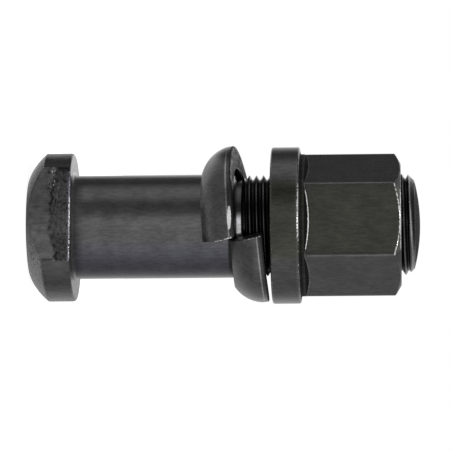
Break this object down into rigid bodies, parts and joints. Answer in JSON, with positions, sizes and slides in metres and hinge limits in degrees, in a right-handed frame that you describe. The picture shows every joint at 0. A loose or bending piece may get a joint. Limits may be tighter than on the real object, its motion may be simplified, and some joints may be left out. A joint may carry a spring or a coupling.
{
  "type": "wheel bolt",
  "caption": "Blackened wheel bolt with a round head that has one sheared flat, a plain shank and a fine thread, carrying a split spherical spring washer and a collar nut.",
  "frame": {"origin": "middle of the head's outer face, which the bolt stands on", "axes": "+Z along the bolt to its threaded end; -Y is the side with the washer's split, about which the head's flat and one nut flat also face"},
  "size_m": [0.0344, 0.0345, 0.0848],
  "materials": {
    "bolt_steel": "blackened, satin shank and rough forged head",
    "washer_steel": "blackened, smooth satin",
    "nut_steel": "blackened, matt flats with bright worn edges"
  },
  "bodies": {
    "bolt": {"wheel_bolt": "bolt_steel"},
    "washer": {"spherical_spring_washer": "washer_steel"},
    "nut": {"collar_nut": "nut_steel"}
  },
  "joints": [
    {"name": "nut_feed", "type": "slide", "parent": "bolt", "child": "washer", "axis": [0, 0, 1], "range_m": [-0.00563, 0.03226]},
    {"name": "nut_turn", "type": "hinge", "parent": "washer", "child": "nut", "pos_m": [0, 0, 0.0527], "axis": [0, 0, 1], "range_deg": [-1350, 7740]}
  ],
  "couplings": [
    {"joint": "nut_feed", "follows": "nut_turn", "m_per_rad": 0.00023873}
  ]
}
